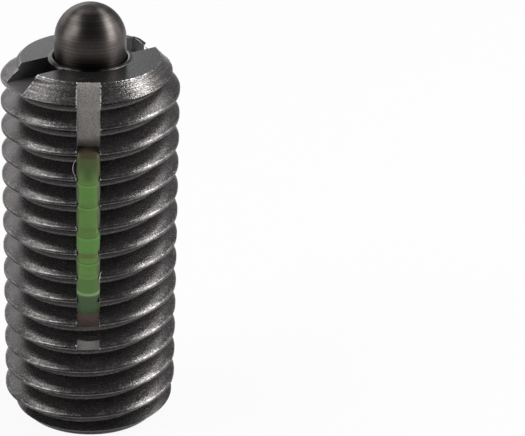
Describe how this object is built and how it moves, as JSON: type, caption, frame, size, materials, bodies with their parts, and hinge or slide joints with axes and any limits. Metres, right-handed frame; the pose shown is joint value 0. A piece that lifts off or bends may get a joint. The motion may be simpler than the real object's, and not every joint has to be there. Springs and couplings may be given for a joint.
{
  "type": "spring plunger",
  "caption": "Threaded steel spring plunger with a domed sprung nose pin, a driver slot, a hexagon socket and a green polyamide thread-locking strip.",
  "frame": {"origin": "centre of the rear end face, on the axis of the thread", "axes": "+Z along the thread's axis from the rear end to the nose; -Y towards the locking strip"},
  "size_m": [0.01, 0.0102, 0.0251],
  "materials": {
    "blackened_steel_body": "black oxide on turned and threaded steel",
    "blackened_steel_pin": "black oxide on hardened turned steel",
    "spring_steel": "drawn spring wire",
    "blackened_steel_screw": "black oxide",
    "green_polyamide": "pressed polyamide"
  },
  "bodies": {
    "body": {"threaded_body": "blackened_steel_body", "closing_screw": "blackened_steel_screw", "locking_strip": "green_polyamide", "compression_spring": "spring_steel"},
    "pin": {"thrust_pin": "blackened_steel_pin"}
  },
  "joints": [
    {"name": "pin_slide", "type": "slide", "parent": "body", "child": "pin", "axis": [0, 0, 1], "range_m": [-0.003, 0], "stiffness_N_per_m": 6000, "springref_m": 0.0017, "deforming": ["compression_spring"]}
  ]
}
